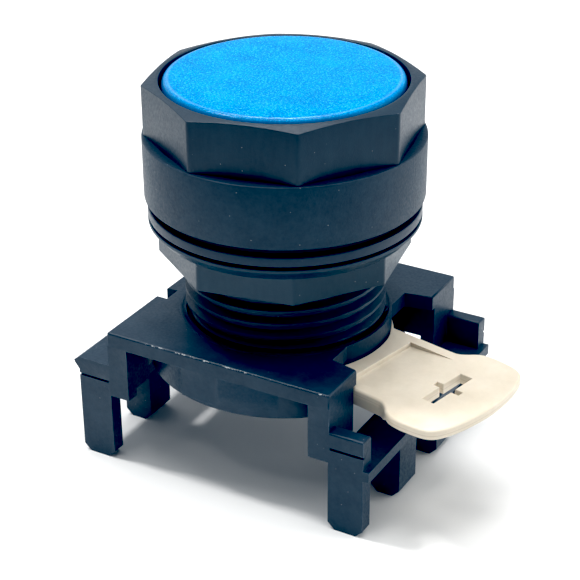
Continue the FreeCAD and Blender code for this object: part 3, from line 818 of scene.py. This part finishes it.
def build_lever():
    """Arm with soft edges, a finger recess and a cross-shaped hole, on a ring with lugs and a lobe."""
    outline = arm_outline()
    tab_low = LEVER_TOP - TAB_T
    rim = soft_edge(tab_low, 0.3, 1) + list(reversed(soft_edge(LEVER_TOP, 0.26, -1)))
    lever = stacked("beige_lever", outline, rim)
    combine(lever, recess())
    combine(lever, cross_hole())
    combine(lever, thick_neck(outline, tab_low), "UNION")
    core_r = 9.0
    combine(lever, bore([(core_r, LEVER_STEP_Z), (LEVER_RING_R, LEVER_TOP + PAST)]))
    ring_r = LEVER_RING_R - HAIR
    ring_top = LEVER_STEP_Z - HAIR / 2
    ring = lathe("ring", [(LEVER_LOW_BORE_R, LEVER_LOW), (ring_r, LEVER_LOW), (ring_r, ring_top),
                          (LEVER_LOW_BORE_R, ring_top)], 0.1)
    combine(lever, ring, "UNION")
    foot = LEVER_LOW + HAIR / 10
    start, end = (math.radians(degrees) for degrees in LOBE_DEG)
    combine(lever, wedge(start, end, LEVER_LOW_BORE_R + OVERLAP, LOBE_R, foot, LEVER_STEP_Z - HAIR), "UNION")
    combine(lever, bore([(LEVER_LOW_BORE_R, LEVER_TOP + PAST)]))
    half = math.radians(LUG_DEG) / 2
    for k in range(LUG_COUNT):
        centre = TAU * k / LUG_COUNT
        lug = wedge(centre - half, centre + half, LUG_R, LEVER_LOW_BORE_R + OVERLAP, foot, LUG_TOP)
        combine(lever, lug, "UNION")
    for stop in (0, LEVER_SWING_DEG):
        notch = stacked("cutter", circle_line(NOTCH_R, -LOBE_R - 0.25),
                        [(LEVER_LOW - PAST, 0.0), (LEVER_TOP + PAST, 0.0)])
        notch.data.transform(Matrix.Rotation(math.radians(-LEVER_REST_DEG - stop), 4, "Z"))
        combine(lever, notch)
    lever.data.transform(Matrix.Rotation(math.radians(LEVER_REST_DEG), 4, "Z"))
    return finish_mesh(lever, 30)


def build_plunger():
    """Head, cone and stem, with the groove that holds the clip."""
    low = bottom_of("plunger")
    clip_top, clip_low = top_of("plunger_clip"), bottom_of("plunger_clip")
    cone_top, cone_low = PLUNGER_CONE_Z
    profile = [(0, PLUNGER_TOP), (PLUNGER_HEAD_R, PLUNGER_TOP), (PLUNGER_HEAD_R, cone_top),
               (PLUNGER_STEM_R, cone_low), (PLUNGER_STEM_R, clip_top, 0.05), (CLIP_GROOVE_R, clip_top, 0.05),
               (CLIP_GROOVE_R, clip_low, 0.05), (PLUNGER_STEM_R, clip_low, 0.05), (PLUNGER_STEM_R, low, 0.6),
               (0, low)]
    return lathe("plunger_stem", profile, 0.1, 4, 160)


def build_retainer():
    """Flat ring with a bevelled lower edge."""
    top, low = top_of("lever_retainer"), bottom_of("lever_retainer")
    r = radius_of("lever_retainer")
    return lathe("retainer_ring", [(RETAINER_BORE_R, top), (r, top), (r, low + 0.2), (r - 0.2, low),
                                   (RETAINER_BORE_R, low, 0.25)], 0.08)


def build_spring():
    """The CAD coil, smoothly shaded."""
    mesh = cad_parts["return_spring"].data.copy()
    return finish_mesh(new_object("coil_spring", mesh), 50)


def close_up(spring):
    """Gives the spring a mesh of its own."""
    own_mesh(spring)


# ------------------------------------------------------------------ camera, light, floor
def build_camera():
    """Looks down on the front and the lever's side. Places and directions are in the CAD's frame."""
    place = Vector((0.07938, -0.13827, 0.07167))
    ahead = Vector((-0.4385, 0.7688, -0.4654)).normalized()
    right = Vector((0.8686, 0.4954, 0.0)).normalized()
    roll_deg = -0.346
    data = bpy.data.cameras.new("camera")
    data.sensor_width = 36.0
    data.lens = 101.63
    data.clip_start = 0.01
    camera = new_object("camera", data)
    turn = Matrix((right, right.cross(ahead), -ahead)).transposed().to_4x4()
    roll = Matrix.Rotation(math.radians(roll_deg), 4, "Z")
    camera.matrix_world = Matrix.Translation(place) @ turn @ roll
    bpy.context.scene.camera = camera


def area_light(name, place, target_z, size, power):
    """Rectangular light, width by height in metres, that faces a point on the object's axis."""
    data = bpy.data.lights.new(name, "AREA")
    data.shape = "RECTANGLE"
    data.size, data.size_y = size
    data.energy = power
    light = new_object(name, data)
    light.location = place
    light.rotation_euler = (Vector((0, 0, target_z)) - Vector(place)).to_track_quat("-Z", "Y").to_euler()


def build_light():
    """A soft box overhead, a key at the back, in front and on the left, and a fill each side."""
    area_light("overhead", (0.04, 0.03, 0.50), 0.0, (0.30, 0.30), 1.9)
    area_light("back_key", (-0.13, 0.225, 0.427), 0.01, (0.14, 0.012), 0.3)
    area_light("front_key", (-0.08, -0.24, 0.42), 0.01, (0.05, 0.05), 0.12)
    area_light("left_key", (-0.19, -0.035, 0.37), -0.01, (0.045, 0.045), 1.0)
    area_light("right_fill", (0.36, 0.22, 0.16), -0.01, (0.3, 0.3), 0.9)
    area_light("left_fill", (-0.38, 0.12, 0.18), 0.0, (0.3, 0.3), 0.2)


def build_surroundings():
    """White all round, brightest above and behind the object, and dimmest on the camera's side."""
    brightest = Vector((-0.40, 0.70, 0.80)).normalized()
    world = bpy.data.worlds.new("studio")
    bpy.context.scene.world = world
    world.use_nodes = True
    tree = world.node_tree
    place = tree.nodes.new("ShaderNodeTexCoord")
    side = tree.nodes.new("ShaderNodeVectorMath")
    side.operation = "DOT_PRODUCT"
    side.inputs[1].default_value = brightest
    tree.links.new(place.outputs["Generated"], side.inputs[0])
    fade = tree.nodes.new("ShaderNodeMapRange")
    ends = {"From Min": -0.2, "From Max": 0.95, "To Min": 0.15, "To Max": 0.8}
    for socket, value in ends.items():
        fade.inputs[socket].default_value = value
    tree.links.new(side.outputs["Value"], fade.inputs["Value"])
    background = tree.nodes["Background"]
    background.inputs["Color"].default_value = (0.97, 0.99, 1.0, 1.0)
    tree.links.new(fade.outputs["Result"], background.inputs["Strength"])


def grade_view():
    """Plain display, with the faintest tones taken down to black, red more than blue."""
    view = bpy.context.scene.view_settings
    view.view_transform = "Standard"
    view.use_curve_mapping = True
    view.curve_mapping.black_level = (0.040, 0.026, 0.010)
    view.curve_mapping.update()


def build_floor():
    """Flat sheet under the latch's feet."""
    half = 2.0
    z = FLOOR_Z * MM
    mesh = bpy.data.meshes.new("sweep")
    mesh.from_pydata([(-half, -half, z), (half, -half, z), (half, half, z), (-half, half, z)], [],
                     [(0, 1, 2, 3)])
    mesh.materials.append(floor_material())
    new_object("sweep", mesh)


# ------------------------------------------------------------------ put it together
build_camera()
build_light()
build_surroundings()
build_floor()
grade_view()

bezel_black = moulded("bezel_black", (0.003, 0.011, 0.023), (0.006, 0.019, 0.034), grain=5600,
                      grain_depth=0.010, edge_wear_and_highlight=0.6, streak=(1, 1, 0.15)).material
head_black = moulded("head_black", (0.006, 0.016, 0.030), (0.012, 0.027, 0.045), rough=(0.42, 0.58),
                     grain=4200, grain_depth=0.016, edge_wear_and_highlight=0.45).material
clamp_black = moulded("clamp_black", (0.006, 0.014, 0.028), (0.010, 0.022, 0.040), edge_wear_and_highlight=0.4).material
nut_black = moulded("nut_black", (0.008, 0.022, 0.036), (0.014, 0.032, 0.050), edge_wear_and_highlight=0.5,
                    streak=(1, 1, 0.2)).material
inner_black = moulded("inner_black", (0.008, 0.012, 0.018), (0.016, 0.022, 0.030), edge_wear_and_highlight=0.3).material
rubber = rubber_material()
spring_steel = steel_material("spring_steel", (0.5, 0.5, 0.5), (1, 1, 6))
washer_steel = steel_material("washer_steel", (0.62, 0.62, 0.6), (1, 1, 1))

use(build_cap(), cap_material(), "button", "button_cap")
use(build_bezel(), bezel_black, "operator", "bezel_ring")
use(cut_bayonet(build_barrel()), head_black, "operator", "barrel_body")
use(build_gasket(), rubber, "operator", "panel_gasket")
use(build_washer(), clamp_black, "washer", "clamp_washer")
use(build_nut(), nut_black, "nut", "mounting_nut")
use(build_plunger(), inner_black, "button", "plunger")
use(build_retainer(), clamp_black, "operator", "lever_retainer")
use(bevelled_copy("latch_base", "latch_holder", 0.12), latch_material(), "operator", "latch_base")
use(build_lever(), lever_material(), "lever", "locking_lever")
coil_spring = build_spring()
use(coil_spring, spring_steel, "operator", "return_spring")
close_up(coil_spring)

# These CAD nodes keep their shape and get a finish.
KEPT = {"button_carrier": inner_black, "plunger_guide": inner_black, "locating_key": inner_black,
        "plunger_clip": spring_steel, "detent_spring": spring_steel, "spring_seat": washer_steel,
        "wiper_seal": rubber, "bezel_gasket": rubber, "anti_rattle_ring": rubber}
for node, material in KEPT.items():
    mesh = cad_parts[node].data
    mesh.materials.clear()
    mesh.materials.append(material)
